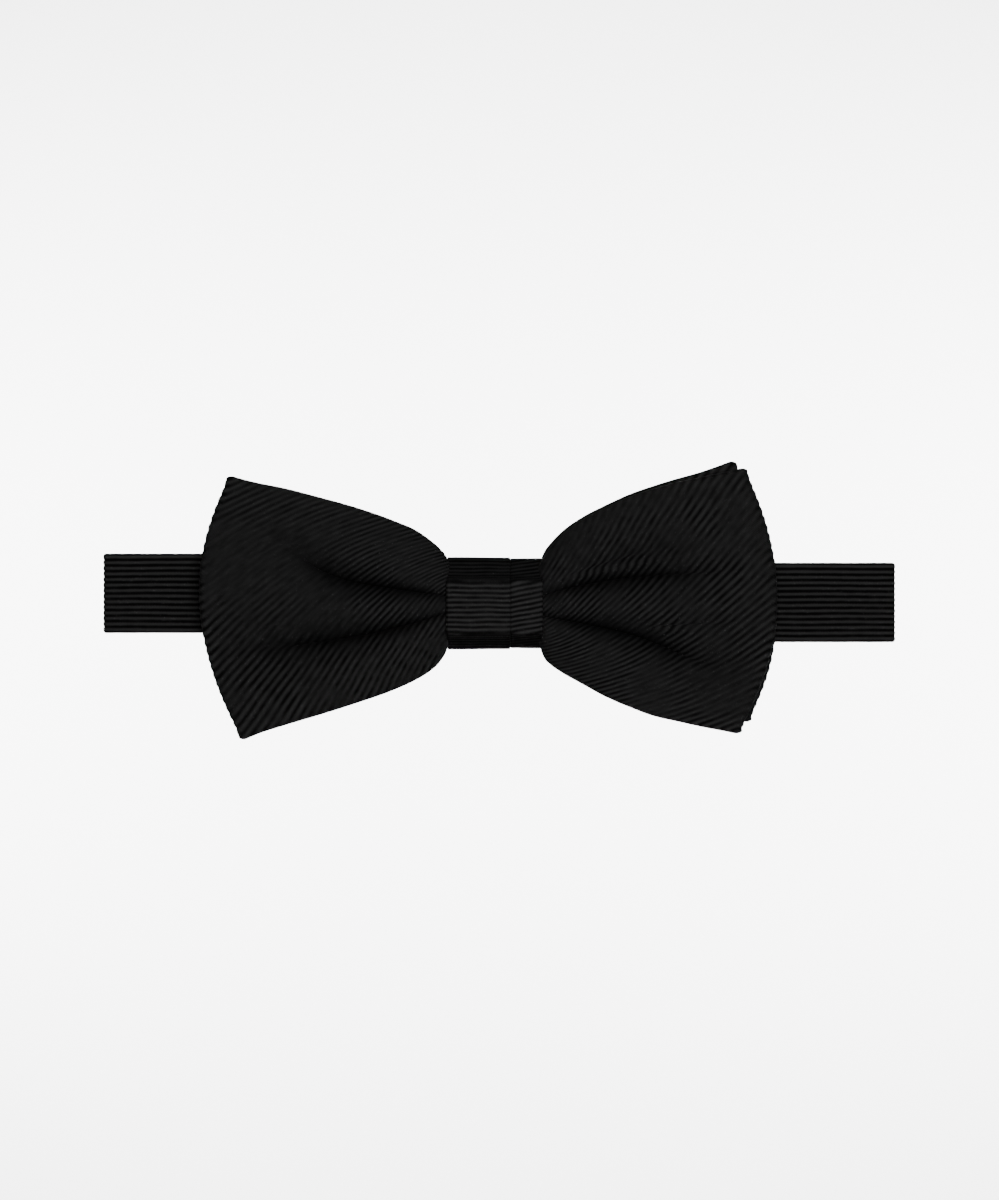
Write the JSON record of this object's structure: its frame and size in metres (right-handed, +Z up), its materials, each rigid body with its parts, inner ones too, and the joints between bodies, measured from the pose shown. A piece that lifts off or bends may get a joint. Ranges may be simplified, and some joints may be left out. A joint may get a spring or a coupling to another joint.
{
  "type": "bow tie",
  "caption": "Ready-tied bow tie with stacked folded bows in a wrapped knot, on an adjustable hook-and-eye neckband folded flat behind.",
  "frame": {"origin": "centre of the knot's back face, where it bears on the front of a shirt collar", "axes": "+X runs along the bow to the wearer's left, +Y runs back from the knot towards the collar, +Z is up"},
  "size_m": [0.1723, 0.0198, 0.06],
  "materials": {
    "bow_cloth": "black coarse diagonal-ribbed silk-look cloth, matt with a faint sheen",
    "band_cloth": "black lengthwise-ribbed cloth",
    "interlining": "undyed stiff woven interlining",
    "thread": "black polyester sewing thread",
    "nickel": "nickel-plated stamped steel, lightly polished"
  },
  "bodies": {
    "bow": {"front_bow_shell": "bow_cloth", "front_bow_interlining": "interlining", "front_bow_join_stitches": "thread", "rear_bow_shell": "bow_cloth", "rear_bow_interlining": "interlining", "rear_bow_join_stitches": "thread", "waist_thread": "thread", "knot_band": "bow_cloth", "knot_interlining": "interlining", "knot_stitches": "thread", "neckband_centre": "band_cloth", "neckband_centre_interlining": "interlining"},
    "short_side": {"short_strap": "band_cloth", "short_strap_interlining": "interlining", "short_strap_loop": "band_cloth", "eye_bar_tack": "thread"},
    "long_side": {"long_strap_root": "band_cloth", "long_strap_root_interlining": "interlining", "long_strap_run": "band_cloth", "long_strap_run_interlining": "interlining"},
    "strap_end": {"hook_loop": "band_cloth", "long_strap_tail": "band_cloth", "long_strap_tail_interlining": "interlining"},
    "adjuster": {"slider": "nickel", "slider_loop": "band_cloth", "slider_bar_tack": "thread"},
    "eye_frame": {"eye": "nickel"},
    "hook_frame": {"hook": "nickel"}
  },
  "joints": [
    {"name": "short_strap_fold", "type": "hinge", "parent": "bow", "child": "short_side", "pos_m": [-0.0851, -0.00118, 0.002], "axis": [0, 0, 1], "range_deg": [0, 180]},
    {"name": "long_strap_fold", "type": "hinge", "parent": "bow", "child": "long_side", "pos_m": [0.0872, -0.00118, 0], "axis": [0, 0, -1], "range_deg": [0, 180]},
    {"name": "strap_end_slide", "type": "slide", "parent": "long_side", "child": "strap_end", "axis": [-1, 0, 0], "range_m": [0, 0.06], "deforming": ["long_strap_run", "long_strap_run_interlining"]},
    {"name": "slider_slide", "type": "slide", "parent": "strap_end", "child": "adjuster", "axis": [-1, 0, 0], "range_m": [0, 0.06], "deforming": ["long_strap_tail", "long_strap_tail_interlining"]},
    {"name": "hook_swing", "type": "hinge", "parent": "strap_end", "child": "hook_frame", "pos_m": [-0.036, 0.00417, 0], "axis": [0, 0, 1], "range_deg": [-30, 0]},
    {"name": "eye_swing", "type": "hinge", "parent": "short_side", "child": "eye_frame", "pos_m": [-0.056, 0.00128, 0.002], "axis": [0, 0, 1], "range_deg": [-12, 30]}
  ],
  "couplings": [
    {"joint": "strap_end_slide", "follows": "slider_slide", "ratio": 1}
  ]
}
